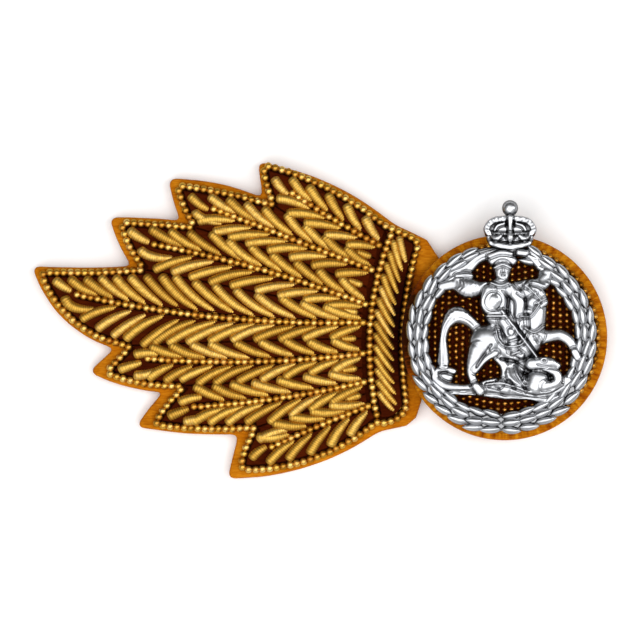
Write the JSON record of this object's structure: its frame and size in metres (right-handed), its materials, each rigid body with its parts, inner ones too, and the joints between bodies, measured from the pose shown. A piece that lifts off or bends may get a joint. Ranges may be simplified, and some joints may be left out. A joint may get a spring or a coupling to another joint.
{
  "type": "collar badge",
  "caption": "Felt collar badge with a gold-wire wing of pointed feathers, a beaded cuff and a round patch that carries a pierced silver wreath emblem.",
  "frame": {"origin": "on the flat felt back, under the centre of the round patch", "axes": "+Z out of the face, +X from the wing to the round patch, +Y towards the crown"},
  "size_m": [0.0787, 0.0434, 0.0082],
  "materials": {
    "felt": "matte mustard-orange wool felt",
    "gold_wire": "gilt coiled wire with a satin shine",
    "gold_beads": "gilt beaded wire, bright on top and dark between beads",
    "dark_field": "dark red-brown cloth with fine gilt beads sewn in rows",
    "silver": "struck silver plate, bright with dark hollows"
  },
  "bodies": {
    "root": {"wing_base": "felt", "disc_base": "felt", "feather_1": "gold_wire", "feather_2": "gold_wire", "feather_3": "gold_wire", "feather_4": "gold_wire", "feather_5": "gold_wire", "feather_6": "gold_wire", "feather_7": "gold_wire", "cuff": "gold_wire", "wing_edging": "gold_beads", "cuff_edging": "gold_beads", "spine_1": "gold_beads", "spine_2": "gold_beads", "spine_3": "gold_beads", "spine_4": "gold_beads", "spine_5": "gold_beads", "spine_6": "gold_beads", "spine_7": "gold_beads", "disc_edging": "gold_beads", "disc_field": "dark_field", "emblem": "silver"}
  },
  "joints": []
}
